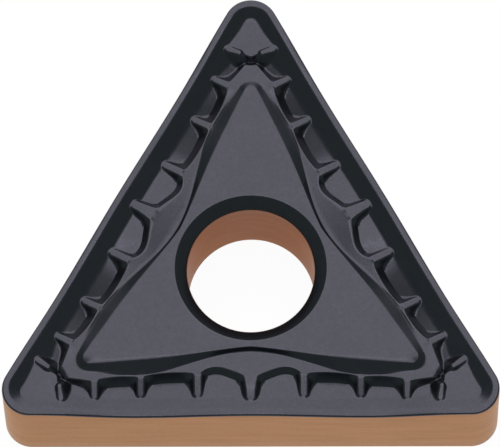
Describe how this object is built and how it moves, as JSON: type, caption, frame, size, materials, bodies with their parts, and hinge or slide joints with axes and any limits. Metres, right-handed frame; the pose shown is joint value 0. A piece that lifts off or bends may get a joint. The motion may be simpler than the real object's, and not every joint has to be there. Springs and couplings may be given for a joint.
{
  "type": "indexable turning insert",
  "caption": "Triangular single-sided turning insert with rounded noses, a wavy cutting edge, a pressed chip former with ribs and bays, a raised island and a round clamping hole.",
  "frame": {"origin": "centre of the flat seat face, on the axis of the clamping hole", "axes": "+Z out of the rake face along the hole, +Y towards one nose, -Y out of the front flank"},
  "size_m": [0.0204, 0.0179, 0.0048],
  "materials": {
    "rake_coating": "satin black hard coating on pressed carbide",
    "flank_coating": "satin bronze-gold nitride coating on the flanks, the hole and the seat"
  },
  "bodies": {
    "root": {"insert_body": "rake_coating"}
  },
  "joints": []
}
